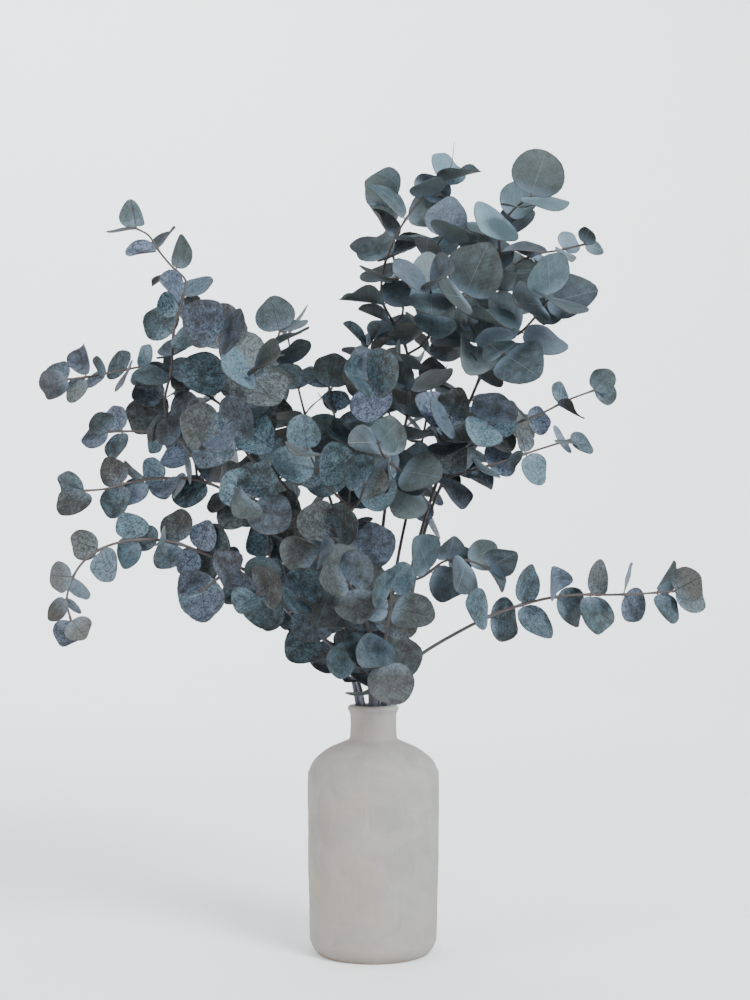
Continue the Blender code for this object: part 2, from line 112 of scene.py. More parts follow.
def pale_studio():
    quarter = [math.pi / 2 * k / SWEEP_STEPS for k in range(SWEEP_STEPS + 1)]
    sweep = [(FLOOR_REACH + SWEEP_RADIUS * math.sin(a), SWEEP_RADIUS * (1 - math.cos(a)))
             for a in quarter]
    profile = [(0, 0), *sweep, (FLOOR_REACH + SWEEP_RADIUS, WALL_TOP)]
    floor = turned("studio_floor", profile, STUDIO_SIDES)
    floor.data.shade_smooth()
    finish, shader = new_finish("Pale studio", 0.9)
    shader.inputs["Base Color"].default_value = (*STUDIO_COLOUR, 1)
    floor.data.materials.append(finish)


def soft_light(name, place, aim, size, power, colour):
    data = bpy.data.lights.new(name, "AREA")
    data.shape = "DISK"
    data.size = size
    data.energy = power
    data.color = colour
    light = add_object(name, data)
    light.location = place
    light.rotation_euler = (Vector(aim) - Vector(place)).to_track_quat("-Z", "Y").to_euler()
    light.visible_camera = False


camera_data = bpy.data.cameras.new("Camera")
camera_data.lens = LENS
camera_data.sensor_width = SENSOR_WIDTH
camera = add_object("Camera", camera_data)
camera.location = EYE
camera.rotation_euler = (math.pi / 2 + EYE_TILT, 0, 0)
scene.camera = camera

pale_studio()
for light in LIGHTS:
    soft_light(*light)
world = bpy.data.worlds.new("Pale room")
world.use_nodes = True
background = world.node_tree.nodes["Background"]
background.inputs["Color"].default_value = (*ROOM_COLOUR, 1)
background.inputs["Strength"].default_value = ROOM_STRENGTH
scene.world = world


# The vase.
# A bottle of thrown clay with a full shoulder, a narrow neck and a small rolled rim. A
# matt, gritty off-white coat is brushed on by hand, and the wall stays a little uneven.
VASE_HEIGHT = 204 * MM
FLOOR_HEIGHT = 6 * MM
NECK_OUTER_RADIUS = 19.7 * MM
NECK_INNER_RADIUS = 15.5 * MM
LIP_HEIGHT = VASE_HEIGHT - 3 * MM
VASE_SIDES = 144
VASE_PROFILE_STEP = 2.2 * MM
BASE_EDGE = 1.5 * MM
BASE_MIDDLE = 12 * MM
LEAST_OUTWARD = 0.1
WALL_SWELL = 0.45 * MM
WALL_LUMPS = 0.16 * MM
SWELL_SCALE = 34
LUMP_SCALE = 150
GRAIN_SCALE = 420
GRAIN_SHARE = 0.4
RIM_ROUGHNESS = 2.5


class Number:
    """What a socket carries, so that a sum of sockets is written as a plain sum."""

    def __init__(self, graph, socket):
        self.graph = graph
        self.socket = socket

    def __add__(self, other):
        return self.graph.maths("ADD", self, other)

    def __sub__(self, other):
        return self.graph.maths("SUBTRACT", self, other)

    def __rsub__(self, other):
        return self.graph.maths("SUBTRACT", other, self)

    def __mul__(self, other):
        return self.graph.maths("MULTIPLY", self, other)

    def __truediv__(self, other):
        return self.graph.maths("DIVIDE", self, other)

    def __pow__(self, other):
        return self.graph.maths("POWER", self, other)

    def __abs__(self):
        return self.graph.maths("ABSOLUTE", self)

    def root(self):
        return self.graph.maths("SQRT", self)

    def at_least(self, other):
        return self.graph.maths("MAXIMUM", self, other)

    def at_most(self, other):
        return self.graph.maths("MINIMUM", self, other)

    def beside(self, output):
        """Another output of the same node."""
        return Number(self.graph, self.socket.node.outputs[output])

    __radd__ = __add__
    __rmul__ = __mul__


class Graph:
    """A node tree that is written as calls, each of which adds one node."""

    def __init__(self, tree):
        self.tree = tree

    def add(self, kind, settings=None, inputs=None, output=0):
        node = self.tree.nodes.new(kind)
        for name, value in (settings or {}).items():
            setattr(node, name, value)
        for key, value in (inputs or {}).items():
            self.feed(node.inputs[key], value)
        return Number(self, node.outputs[output])

    def feed(self, socket, value):
        if isinstance(value, Number):
            self.tree.links.new(value.socket, socket)
        elif socket.type == "RGBA":
            socket.default_value = (*value, 1)
        else:
            socket.default_value = value

    def maths(self, operation, first, second=0.0):
        return self.add("ShaderNodeMath", {"operation": operation}, {0: first, 1: second})

    def vector(self, operation, first, second=(0, 0, 0), scale=None):
        last = {"Scale": scale} if operation == "SCALE" else {1: second}
        return self.add("ShaderNodeVectorMath", {"operation": operation}, {0: first, **last})

    def joined(self, x, y, z=0.0):
        return self.add("ShaderNodeCombineXYZ", None, {0: x, 1: y, 2: z})

    def parted(self, vector):
        x = self.add("ShaderNodeSeparateXYZ", None, {0: vector})
        return x, x.beside("Y"), x.beside("Z")

    def blend(self, share, first, second):
        """A colour that runs from the first to the second as the share goes from 0 to 1."""
        inputs = {0: share, 6: first, 7: second}
        return self.add("ShaderNodeMix", {"data_type": "RGBA"}, inputs, 2)

    def ramp(self, value, low, high):
        """0 up to low, 1 from high on, and smooth between them."""
        return self.add("ShaderNodeMapRange", {"interpolation_type": "SMOOTHSTEP"},
                        {"Value": value, "From Min": low, "From Max": high})

    def noise(self, place, scale, detail=2.0, roughness=0.5, warp=0.0):
        inputs = {"Vector": place, "Scale": scale, "Detail": detail,
                  "Roughness": roughness, "Distortion": warp}
        return self.add("ShaderNodeTexNoise", None, inputs)

    def dress(self, shader, colour, roughness, relief, strength, depth):
        """Feeds what changes over a finish: its colour, roughness and relief."""
        bump = self.add("ShaderNodeBump", None,
                        {"Strength": strength, "Distance": depth, "Height": relief})
        self.feed(shader.inputs["Base Color"], colour)
        self.feed(shader.inputs["Roughness"], roughness)
        self.feed(shader.inputs["Normal"], bump)


def smooth(route, step):
    """Points of a smooth curve through a route's points, about a step apart."""
    ends = [2 * route[0] - route[1], *route, 2 * route[-1] - route[-2]]
    points = []
    for a, b, c, d in zip(ends, ends[1:], ends[2:], ends[3:]):
        count = max(2, round((c - b).length / step))
        for k in range(count):
            t = k / count
            points.append(0.5 * (2 * b + (c - a) * t
                                 + (2 * a - 5 * b + 4 * c - d) * t * t
                                 + (3 * b - a - 3 * c + d) * t * t * t))
    return [*points, route[-1]]


def vase_profile():
    """Inner floor, up the inner wall, over the rim and down the outside to the base."""
    inner = [(0, 6), (40, 6), (48, 10), (51, 20), (51, 138), (49.5, 149), (44.5, 156.5),
             (35, 163.5), (25, 168), (17.5, 171.5)]
    outer = [(22, 174.8), (29.5, 171.5), (39, 167), (49, 159), (54, 150), (55.2, 140),
             (54.6, 80), (53.2, 20), (52, 8), (48, 2), (42, 0), (0, 0)]
    inner_neck, outer_neck, top = NECK_INNER_RADIUS, NECK_OUTER_RADIUS, VASE_HEIGHT
    neck = [(inner_neck, 175 * MM), (inner_neck, LIP_HEIGHT),
            (inner_neck + 1.5 * MM, top - 0.4 * MM), (outer_neck, top),
            (outer_neck + 1.8 * MM, top - 1.6 * MM), (outer_neck + 1.6 * MM, top - 4.4 * MM),
            (outer_neck, top - 7.5 * MM), (outer_neck, 178 * MM)]
    return ([(r * MM, z * MM) for r, z in inner] + neck
            + [(r * MM, z * MM) for r, z in outer])


def hand_made_wall(vase):
    """Moves the outside of the wall in and out a little, and leaves the base flat."""
    faced = [(vertex, vertex.co.copy(), vertex.normal.copy()) for vertex in vase.data.vertices]
    for vertex, place, normal in faced:
        radial = Vector((place.x, place.y, 0))
        if place.z < BASE_EDGE or radial.length < BASE_MIDDLE:
            continue
        outward = radial.normalized()
        if normal.dot(outward) < LEAST_OUTWARD and place.z < LIP_HEIGHT:
            continue
        swell = WALL_SWELL * noise.noise(place * SWELL_SCALE)
        grain = GRAIN_SHARE * noise.noise(place * GRAIN_SCALE)
        lumps = noise.noise(place * LUMP_SCALE) + grain
        rough = RIM_ROUGHNESS if place.z > LIP_HEIGHT else 1
        vertex.co = place + outward * (swell + lumps * rough * WALL_LUMPS)


def gritty_ceramic():
    """Off-white matt coat: faint blotches, brushed streaks, fine grit, painted foot shadow."""
    finish, shader = new_finish("Matt off-white coat", 0.9)
    graph = Graph(finish.node_tree)
    place = graph.add("ShaderNodeTexCoord", output="Object")
    height = graph.parted(place)[2]
    strokes = graph.vector("MULTIPLY", place, (1.0, 1.0, 0.16))
    blotches = graph.noise(place, 42, 5, 0.6, 0.4)
    streaks = graph.noise(strokes, 190, 4, 0.65, 0.8)
    warm_patch = graph.noise(graph.vector("ADD", place, (3.1, 1.7, 0.4)), 16, 2)
    grit = graph.noise(place, 1500, 2, 0.7)
    lumps = graph.noise(place, 260, 3, 0.55)
    pits = graph.add("ShaderNodeTexVoronoi", None, {"Vector": place, "Scale": 230.0})
    pitted = graph.ramp(pits, 0.10, 0.04) * graph.ramp(graph.noise(place, 60), 0.56, 0.66)
    colour = graph.blend(graph.ramp(blotches, 0.3, 0.7), (0.202, 0.193, 0.181),
                         (0.241, 0.231, 0.220))
    colour = graph.blend(graph.ramp(warm_patch, 0.45, 0.75) * 0.5, colour,
                         (0.250, 0.206, 0.162))
    colour = graph.blend(graph.ramp(streaks, 0.55, 0.75) * 0.28, colour,
                         (0.315, 0.300, 0.280))
    colour = graph.blend(pitted * 0.6, colour, (0.16, 0.15, 0.13))
    # A warm, slightly darker band at the foot: painted contact shadow and painted warm
    # reflection.
    foot = graph.ramp(height + (blotches - 0.5) * 0.006, 0.0036, 0.0012)
    colour = graph.blend(foot * 0.75, colour, (0.22, 0.165, 0.13))
    relief = lumps * 0.5 + streaks * 0.35 + grit * 0.18 - pitted * 0.8
    graph.dress(shader, colour, 0.82 + grit * 0.14, relief, 0.7, 1 * MM)
    return finish


vase_route = smooth([Vector((radius, 0, height)) for radius, height in vase_profile()],
                    VASE_PROFILE_STEP)
vase = turned("bottle_vase", [(max(0, point.x), max(0, point.z)) for point in vase_route],
              VASE_SIDES)
hand_made_wall(vase)
vase.data.shade_smooth()
vase.data.materials.append(gritty_ceramic())
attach(vase, "root")
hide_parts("vase")


# The branches: where they stand and how they run.
# Eleven cut branches lean on the neck's inner wall or stand in its middle, with their
# feet on the vase's floor. Each is one grown piece: a main stem and its side twigs.
REST_GAP = 0.3 * MM
STEM_RADIUS = 2.2 * MM

# The stems clear a neck of PLAIN_SIDES flats, and so they clear the round one too.
PLAIN_SIDES = 24
NECK_FLAT_RADIUS = NECK_INNER_RADIUS * math.cos(math.pi / PLAIN_SIDES)
RING_RADIUS = NECK_FLAT_RADIUS - STEM_RADIUS - REST_GAP
RING_FOOT_RADIUS = 36 * MM
RING_TWIST = 120
CORE_RADIUS = 3.3 * MM
CORE_FOOT_RADIUS = 6.5 * MM
CORE_TWIST = 0
BELOW_NECK_SHARE = 0.84
STEM_LEAN = math.radians(14)

# A shoot's route is in millimetres. Its radii, leaf gaps and leaf lengths are in
# millimetres too, at its start and at its tip, and turn is the first pair's angle.
# Facing is how much its leaves turn to the light.
Shoot = namedtuple("Shoot", "route radii first gaps sizes turn facing", defaults=[1.0])

# A branch's place is its angle round the neck, on the outer ring or in the core. Its
# shoots are its stem and then its twigs.
Branch = namedtuple("Branch", "name ring angle shoots")

BRANCHES = [
    Branch("branch_left_high", True, 145, [
        Shoot([(-17, 12, 245), (-32, 12, 300), (-58, 8, 360), (-78, 0, 392),
               (-104, -10, 412), (-114, -18, 440), (-109, -32, 462), (-100, -55, 474),
               (-96, -82, 478)],
              (2.2, 1.1), 165, (54, 37), (44, 38), 20),
        Shoot([(-140, -12, 428), (-165, -22, 436), (-174, -30, 455), (-168, -32, 485),
               (-166, -38, 512), (-157, -50, 540), (-155, -46, 556), (-168, -36, 570),
               (-180, -26, 585), (-190, -20, 600), (-203, -15, 608)],
              (1.5, 1.0), 30, (39, 28), (41, 24), 50),
        Shoot([(-116, -48, 474), (-122, -78, 488), (-120, -108, 500)],
              (1.4, 1.0), 24, (34, 25), (42, 34), 0),
        Shoot([(-112, -46, 436), (-116, -76, 428), (-122, -102, 424)],
              (1.4, 1.0), 24, (38, 27), (42, 33), 50),
        Shoot([(-138, -8, 464), (-156, -4, 476), (-172, -10, 486), (-192, -15, 489),
               (-212, -20, 485), (-232, -25, 480), (-256, -30, 476)],
              (1.4, 1.0), 30, (46, 30), (37, 25), 70),
        Shoot([(-94, -22, 488), (-86, -6, 506), (-80, 8, 524)],
              (1.3, 1.0), 24, (38, 30), (36, 31), 30),
    ]),
    Branch("branch_left_middle", True, 190, [
        Shoot([(-20, -8, 240), (-32, -20, 285), (-58, -34, 335), (-95, -48, 366),
               (-135, -58, 388), (-168, -64, 391), (-192, -68, 388), (-214, -72, 382),
               (-232, -76, 380)],
              (2.2, 1.0), 130, (51, 31), (42, 26), 60),
        Shoot([(-148, -50, 410), (-166, -46, 428), (-190, -46, 431), (-218, -50, 430)],
              (1.3, 1.0), 24, (37, 26), (31, 22), 20),
        Shoot([(-96, -70, 372), (-96, -98, 374)],
              (1.4, 1.0), 22, (36, 28), (37, 31), 45),
        Shoot([(-72, -50, 368), (-84, -52, 350), (-84, -58, 326)],
              (1.3, 1.0), 22, (38, 33), (37, 30), 10),
    ]),
    Branch("branch_left_low", True, 235, [
        Shoot([(-14, -18, 228), (-27, -26, 248), (-45, -34, 264), (-62, -42, 276),
               (-80, -50, 295), (-102, -60, 316), (-135, -68, 330), (-160, -74, 339),
               (-186, -80, 341), (-212, -85, 335), (-231, -90, 320), (-240, -94, 296),
               (-236, -96, 276)],
              (2.2, 1.0), 78, (47, 28), (41, 23), 35),
        Shoot([(-124, -76, 310), (-134, -104, 300)],
              (1.3, 1.0), 20, (36, 27), (37, 32), 80),
        Shoot([(-92, -78, 300), (-90, -106, 298)],
              (1.3, 1.0), 18, (32, 26), (36, 31), 30),
        Shoot([(-62, -66, 288), (-58, -96, 296)],
              (1.3, 1.0), 22, (36, 26), (40, 32), 60),
    ]),
    Branch("branch_back_left", True, 100, [
        Shoot([(-9, 30, 265), (-26, 46, 340), (-46, 58, 405), (-62, 66, 460),
               (-72, 72, 500), (-78, 74, 532)],
              (2.2, 1.0), 170, (60, 46), (43, 33), 10),
        Shoot([(-62, 84, 430), (-88, 104, 462), (-104, 116, 488)],
              (1.4, 1.0), 32, (50, 37), (39, 31), 60),
        Shoot([(-60, 74, 395), (-92, 86, 400), (-126, 92, 410)],
              (1.4, 1.0), 32, (50, 37), (39, 31), 20),
    ]),
    Branch("branch_back_right", True, 55, [
        Shoot([(12, 30, 262), (22, 52, 330), (36, 72, 395), (48, 88, 455), (56, 98, 505),
               (60, 102, 545)],
              (2.2, 1.0), 180, (60, 46), (43, 33), 40),
        Shoot([(60, 84, 420), (92, 96, 440), (122, 102, 450)],
              (1.4, 1.0), 32, (50, 37), (39, 31), 80),
        Shoot([(30, 98, 440), (12, 118, 470), (4, 128, 500)],
              (1.4, 1.0), 32, (50, 37), (39, 31), 0),
    ]),
    Branch("branch_centre", False, 270, [
        Shoot([(-5, -12, 250), (-13, -24, 310), (-20, -32, 360), (-18, -34, 400),
               (-11, -36, 435), (-5, -50, 462), (-5, -82, 468)],
              (2.2, 1.1), 130, (52, 35), (42, 35), 0),
        Shoot([(-24, -46, 340), (-32, -76, 350)],
              (1.3, 1.0), 24, (37, 27), (39, 32), 40),
        Shoot([(-12, -58, 372), (-6, -86, 386)],
              (1.3, 1.0), 26, (37, 27), (39, 32), 80),
        Shoot([(-30, -55, 378), (-42, -68, 392), (-52, -96, 412)],
              (1.3, 1.0), 24, (36, 26), (40, 30), 70),
        Shoot([(-24, -22, 425), (-33, -10, 448), (-38, -6, 474)],
              (1.3, 1.0), 26, (38, 32), (36, 29), 15),
        Shoot([(-2, -22, 464), (0, -12, 486), (-6, -10, 508)],
              (1.3, 1.0), 28, (36, 27), (35, 28), 50),
    ]),
    Branch("branch_centre_high", False, 150, [
        Shoot([(2, 9, 258), (6, 17, 320), (10, 22, 370), (20, 22, 415), (29, 20, 450),
               (31, 16, 480), (28, 14, 510), (15, 10, 535), (7, 5, 552), (9, 0, 577),
               (18, -5, 600), (30, -10, 620), (45, -12, 638), (60, -15, 648)],
              (2.2, 1.0), 190, (52, 36), (41, 43), 25),
        Shoot([(44, 0, 512), (50, -30, 526), (47, -62, 540), (44, -86, 546)],
              (1.4, 1.0), 30, (38, 27), (41, 35), 10),
        Shoot([(26, -14, 566), (46, -24, 580), (58, -34, 596)],
              (1.3, 1.0), 28, (40, 33), (43, 39), 30),
        Shoot([(26, 28, 545), (20, 32, 580), (14, 28, 612), (10, 22, 636)],
              (1.3, 1.0), 30, (47, 40), (37, 39), 60),
    ]),
    Branch("branch_right_high", False, 30, [
        Shoot([(16, 5, 245), (27, 7, 295), (38, 10, 340), (50, 14, 380), (63, 18, 415),
               (84, 18, 465), (99, 13, 500), (109, 8, 525), (111, 0, 555), (108, -14, 580),
               (106, -32, 600), (114, -54, 612), (128, -80, 618)],
              (2.2, 1.1), 215, (53, 34), (46, 43), 70),
        Shoot([(122, -2, 518), (134, -12, 528), (142, -24, 538), (146, -52, 542)],
              (1.4, 1.0), 24, (38, 27), (37, 42), 20),
        Shoot([(124, 6, 582), (142, 6, 590), (160, 0, 592), (182, -6, 596)],
              (1.2, 1.0), 36, (36, 21), (27, 17), 50),
        Shoot([(92, -8, 506), (80, -34, 524), (74, -66, 540)],
              (1.4, 1.0), 26, (42, 33), (46, 42), 40),
        Shoot([(106, -16, 508), (108, -46, 494)],
              (1.4, 1.0), 24, (36, 28), (44, 39), 75),
        Shoot([(36, -14, 386), (22, -48, 398), (8, -82, 408), (4, -106, 416)],
              (1.4, 1.0), 36, (38, 27), (40, 30), 25),
        Shoot([(42, -10, 312), (60, -20, 325), (80, -24, 325), (96, -30, 318)],
              (1.4, 1.0), 30, (38, 27), (37, 30), 30),
    ]),
    Branch("branch_right_middle", True, 10, [
        Shoot([(22, 12, 245), (33, 26, 295), (43, 30, 345), (56, 26, 385), (72, 12, 412),
               (88, 8, 427), (108, 4, 436), (126, 0, 444), (146, -5, 452), (164, -9, 461),
               (188, -10, 470)],
              (2.2, 1.0), 165, (47, 28), (40, 24), 50),
        Shoot([(62, -8, 396), (82, -26, 400), (110, -34, 408), (130, -30, 415),
               (148, -26, 421), (166, -20, 427)],
              (1.3, 1.0), 30, (41, 27), (33, 23), 0),
        Shoot([(66, -20, 428), (62, -58, 442)],
              (1.4, 1.0), 28, (36, 27), (38, 32), 45),
        Shoot([(98, -26, 432), (94, -64, 436)],
              (1.3, 1.0), 28, (40, 30), (38, 32), 70),
    ]),
    Branch("branch_right_low", True, 325, [
        Shoot([(14, -10, 218), (25, -15, 235), (45, -22, 251), (70, -30, 266), (95, -36, 279),
               (116, -41, 287), (142, -45, 294), (168, -49, 297), (194, -51, 297),
               (220, -52, 298), (246, -52, 300)],
              (2.1, 1.0), 124, (35, 26), (40, 31), 65, 0.7),
    ]),
    Branch("branch_front_low", True, 280, [
        Shoot([(3, -26, 230), (-2, -52, 262), (-12, -80, 292), (-20, -108, 308)],
              (2.1, 1.0), 15, (38, 28), (42, 32), 90),
        Shoot([(8, -62, 258), (13, -90, 282), (14, -112, 302)],
              (1.3, 1.0), 26, (36, 27), (37, 30), 70),
        Shoot([(-5, -36, 232), (-14, -58, 240)],
              (1.3, 1.0), 14, (30, 26), (35, 31), 30),
        Shoot([(10, -48, 243), (16, -76, 250)],
              (1.3, 1.0), 20, (32, 26), (42, 35), 10),
        Shoot([(-30, -76, 300), (-44, -102, 326)],
              (1.3, 1.0), 26, (38, 29), (38, 33), 50),
    ]),
]


# How the leaves are laid out.
# Pairs at every node, each turned to the light and kept clear of all other leaves and
# wood. The numbers are lengths, or ranges that a leaf's own value is drawn from.
BLADE_CLEARANCE = 1.5 * MM
GUARD_START = 3 * MM
GUARD_MARGIN = 1.4 * MM
ROOT_START = 0.3 * MM
ROOT_LENGTH = 1.8 * MM
ROOT_HALF_WIDTH = 0.8 * MM
HALF_WIDTH_SHARE = 0.52
LEAN = (52, 80)
TIP_LEAN = (30, 45)
TURN_SHARE = (0.6, 1.0)
FOLD = (0.08, 0.34)
DROOP = (-0.08, 0.16)
FLATTENING = 0.6
BARE_STEP = 45 * MM
TIP_LENGTH = 2.5 * MM
TWIG_LEAD = 6 * MM
MIN_STEP = 1 * MM
PATH_STEP = 4 * MM
CAP_GAP = 0.01 * MM
LAST_GAP_SHARE = 0.4
LEAST_ACROSS = 0.35
REACH_SHARE = 0.62
LEAF_SPREAD = (0.86, 1.1)
PAIR_SPREAD = 14
ROLL = 0.3
TRIES = 16

# A leaf in the way is tried again, turned, leaned, rolled and shrunk more each time.
TRY_TURN = 0.9
TRY_LEAN = (-0.5, 0.4)
TRY_ROLL = 0.9
TRY_SHRINK = 0.4
SHRINK_FROM = 0.3
TRY_FACING = 0.6
FIRST_SEED = 11

# What turns a leaf: its place about the crown's middle, and the light from the front.
CROWN_MIDDLE = 0.38
OUTWARD_SHARES = (0.3, 1.4, 0.4)
TO_LIGHT = (0.0, -0.85, 0.3)

# A leaf has its root's place, three axes (along its rib, across it, out of its upper
# face), its length, how far its halves fold up and how far its tip droops.
Leaf = namedtuple("Leaf", "place rib side face length fold droop")


class Path:
    """A smooth curve through a route's points, read by the distance along it."""

    def __init__(self, route):
        self.points = smooth(route, PATH_STEP)
        self.lengths = [0.0]
        for here, there in zip(self.points, self.points[1:]):
            self.lengths.append(self.lengths[-1] + (there - here).length)
        self.length = self.lengths[-1]

    def at(self, distance):
        distance = min(max(distance, 0.0), self.length)
        k = 1
        while k < len(self.lengths) - 1 and self.lengths[k] < distance:
            k += 1
        before, after = self.points[k - 1], self.points[k]
        share = (distance - self.lengths[k - 1]) / (self.lengths[k] - self.lengths[k - 1])
        return before.lerp(after, share), (after - before).normalized()

    def nearest(self, place):
        gaps = [(point - place).length for point in self.points]
        return self.lengths[gaps.index(min(gaps))]


def run_in_vase(branch):
    """The straight run in the vase: the foot on its floor, below the neck, at the lip."""
    lip, foot, twist = RING_RADIUS, RING_FOOT_RADIUS, RING_TWIST
    if not branch.ring:
        lip, foot, twist = CORE_RADIUS, CORE_FOOT_RADIUS, CORE_TWIST
    at_lip = math.radians(branch.angle)
    at_foot = math.radians(branch.angle + twist)
    foot_height = FLOOR_HEIGHT + REST_GAP + STEM_RADIUS * math.sin(STEM_LEAN)
    start = Vector((foot * math.cos(at_foot), foot * math.sin(at_foot), foot_height))
    end = Vector((lip * math.cos(at_lip), lip * math.sin(at_lip), LIP_HEIGHT))
    return [start, start.lerp(end, BELOW_NECK_SHARE), end]


def path_of(shoot, starts):
    return Path(starts + [Vector(point) * MM for point in shoot.route])


def joint_of(twig, stem_path):
    """Where a twig leaves its stem: a little before the place nearest to its route."""
    return max(0.0, stem_path.nearest(Vector(twig.route[0]) * MM) - TWIG_LEAD)


def leaf_nodes(shoot, path, bare):
    """Distances along the shoot where a pair of leaves grows, the last one at its tip."""
    distance = bare + shoot.first * MM
    nodes = []
    while distance < path.length - LAST_GAP_SHARE * shoot.gaps[1] * MM:
        nodes.append(distance)
        share = distance / path.length
        distance += (shoot.gaps[0] + (shoot.gaps[1] - shoot.gaps[0]) * share) * MM
    return [*nodes, path.length - TIP_LENGTH]


def tube(name, path, radii, stops, full_until, roundness):
    """A round tube that bends only at its stops, and tapers past a given distance."""
    curve = bpy.data.curves.new(name, "CURVE")
    curve.dimensions = "3D"
    curve.bevel_depth = MM
    curve.bevel_resolution = roundness
    curve.use_fill_caps = True
    spline = curve.splines.new("POLY")
    spline.points.add(len(stops) - 1)
    for point, stop in zip(spline.points, stops):
        point.co = (*path.at(stop)[0], 1)
        share = max(0.0, stop - full_until) / (path.length - full_until)
        point.radius = radii[0] + (radii[1] - radii[0]) * share
    made = plain_mesh(add_object(name, curve), name)
    shape = bmesh.new()
    shape.from_mesh(made.data)
    bmesh.ops.remove_doubles(shape, verts=shape.verts, dist=CAP_GAP)
    bmesh.ops.triangulate(shape, faces=shape.faces)
    shape.to_mesh(made.data)
    shape.free()
    return made


def stops_along(path, nodes, joints):
    """Every leaf node and side joint, with plain stops in the long bare runs between."""
    stops = sorted({0.0, path.length, *nodes, *joints})
    filled = [stops[0]]
    for stop in stops[1:]:
        gap = stop - filled[-1]
        if gap < MIN_STEP and stop < path.length:
            continue
        parts = max(1, round(gap / BARE_STEP))
        first = filled[-1]
        filled += [first + gap * k / parts for k in range(1, parts + 1)]
    return filled


def light_on(place):
    """The way a leaf at a place turns its face: outward, upward and to the front."""
    wide, deep, tall = OUTWARD_SHARES
    out = Vector((wide * place.x, deep * place.y, tall * (place.z - CROWN_MIDDLE)))
    return (out.normalized() + Vector(TO_LIGHT)).normalized()


def leaf_frame(tangent, azimuth, lean, turn_share, roll, place):
    """The leaf's own axes: along its rib, across it, and out of its upper face."""
    across = Vector((0, 1, 0)).cross(tangent)
    if across.length < LEAST_ACROSS:
        across = Vector((1, 0, 0)).cross(tangent)
    across.normalize()
    up = tangent.cross(across)
    away = across * math.cos(azimuth) + up * math.sin(azimuth)
    light = light_on(place)
    away = (away - light * away.dot(light) * FLATTENING).normalized()
    rib = (tangent * math.cos(lean) + away * math.sin(lean)).normalized()
    face = tangent * math.sin(lean) - away * math.cos(lean)
    light = light - rib * light.dot(rib)
    if light.dot(face) < 0:
        light = -light
    face = (face * (1 - turn_share) + light.normalized() * turn_share).normalized()
    side = face.cross(rib)
    face = face * math.cos(roll) + side * math.sin(roll)
    side = face.cross(rib).normalized()
    return rib, side, rib.cross(side)


def leaf_outline(leaf):
    """Root, neck, edge and tip of a round leaf: x along its rib, y across, z up."""
    length = leaf.length
    half = HALF_WIDTH_SHARE * length
    edge = [(ROOT_LENGTH, ROOT_HALF_WIDTH), (0.22 * length, 0.86 * half),
            (0.70 * length, 0.90 * half)]
    flat = [(ROOT_START, 0), (length, 0)] + edge + [(x, -y) for x, y in edge]
    return [Vector((x, y, 0.5 * leaf.fold * abs(y) - leaf.droop * x * x / length))
            for x, y in flat]


LEAF_FACES = [(0, 5, 2), (5, 6, 2), (2, 6, 3), (6, 7, 3), (3, 7, 4), (7, 1, 4)]
LEAF_EDGE = [0, 5, 6, 7, 1, 4, 3, 2]


def leaf_points(leaf, start=0.0, lift=0.0, grow=0.0):
    """The leaf's points in space, moved along its rib and face and grown past its edge."""
    middle = Vector((0.5 * leaf.length, 0, 0))
    points = []
    for flat in leaf_outline(leaf):
        flat = flat + (flat - middle).normalized() * grow
        points.append(leaf.place + leaf.rib * (flat.x + start) + leaf.side * flat.y
                      + leaf.face * (flat.z + lift))
    return points


def leaf_guard(leaf):
    """A thicker and slightly larger leaf, which marks the room that a leaf needs."""
    above = leaf_points(leaf, GUARD_START, BLADE_CLEARANCE, GUARD_MARGIN)
    below = leaf_points(leaf, GUARD_START, -BLADE_CLEARANCE, GUARD_MARGIN)
    count = len(above)
    faces = list(LEAF_FACES)
    faces += [tuple(count + k for k in reversed(face)) for face in LEAF_FACES]
    for a, b in zip(LEAF_EDGE, LEAF_EDGE[1:] + LEAF_EDGE[:1]):
        faces += [(a, count + a, count + b), (a, count + b, b)]
    return BVHTree.FromPolygons(above + below, faces, all_triangles=True)


def leaf_centre(leaf):
    return leaf.place + leaf.rib * 0.5 * leaf.length


def leaf_reach(leaf):
    return REACH_SHARE * leaf.length


class Room:
    """What is already in place, so that a new leaf can be laid clear of it."""

    def __init__(self):
        self.wood = {}
        self.leaves = []

    def add_wood(self, key, made):
        mesh = made.data
        points = [made.matrix_world @ vertex.co for vertex in mesh.vertices]
        faces = [tuple(face.vertices) for face in mesh.polygons]
        self.wood[key] = BVHTree.FromPolygons(points, faces)

    def is_clear(self, key, leaf):
        centre, reach, guard = leaf_centre(leaf), leaf_reach(leaf), leaf_guard(leaf)
        for other, tree in self.wood.items():
            if other == key:
                continue
            if tree.find_nearest(centre, reach)[0] is None:
                continue
            if guard.overlap(tree):
                return False
        for place, size, tree in self.leaves:
            if (place - centre).length < reach + size and guard.overlap(tree):
                return False
        return True

    def add_leaf(self, leaf):
        tree = BVHTree.FromPolygons(leaf_points(leaf), LEAF_FACES, all_triangles=True)
        self.leaves.append((leaf_centre(leaf), leaf_reach(leaf), tree))


